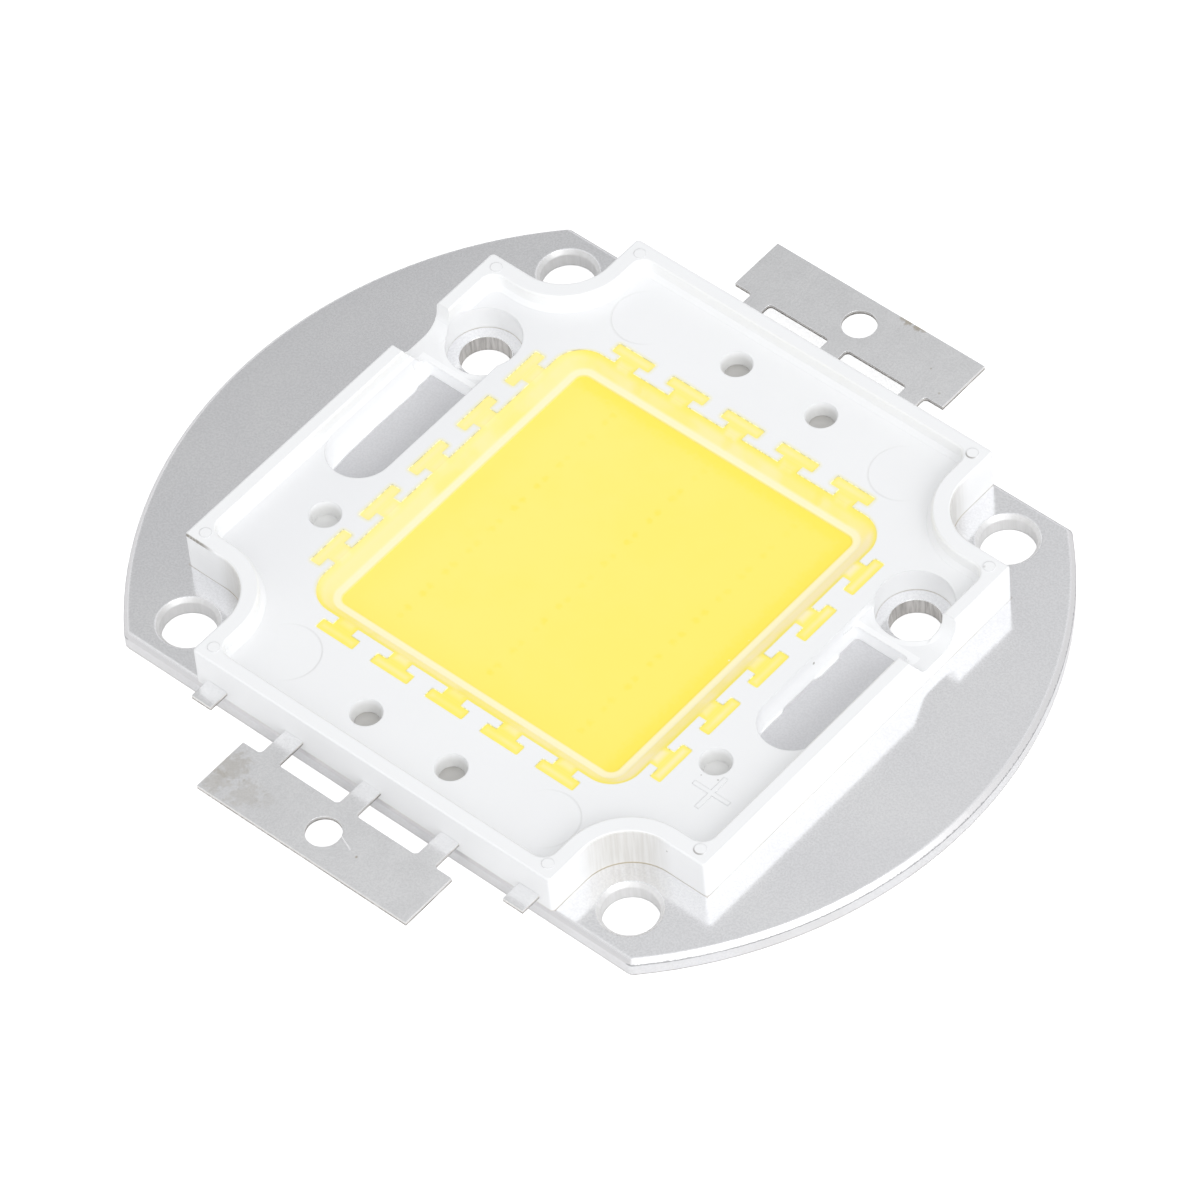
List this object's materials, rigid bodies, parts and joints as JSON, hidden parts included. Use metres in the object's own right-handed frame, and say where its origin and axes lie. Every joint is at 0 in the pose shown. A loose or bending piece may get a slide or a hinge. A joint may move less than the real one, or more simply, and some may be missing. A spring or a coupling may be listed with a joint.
{
  "type": "cob led",
  "caption": "High-power chip-on-board LED: plated round base plate with flats, white moulded frame, yellow silicone light area and two solder tabs.",
  "frame": {"origin": "centre of the base plate's bottom face", "axes": "+X along the plate's two flats, +Y from the positive lead to the negative lead, +Z the way the light leaves"},
  "size_m": [0.056, 0.0524, 0.0041],
  "materials": {
    "plated_base": "fine-grained satin silver plating",
    "white_plastic": "satin moulded white",
    "plated_lead": "satin silver plating over copper",
    "chip": "smooth",
    "gold": "bright",
    "phosphor_silicone": "soft gloss yellow"
  },
  "bodies": {
    "root": {"base_plate": "plated_base", "frame": "white_plastic", "lead_positive": "plated_lead", "lead_negative": "plated_lead", "tie_bars": "plated_lead", "dies": "chip", "bond_wires": "gold", "silicone": "phosphor_silicone"}
  },
  "joints": []
}
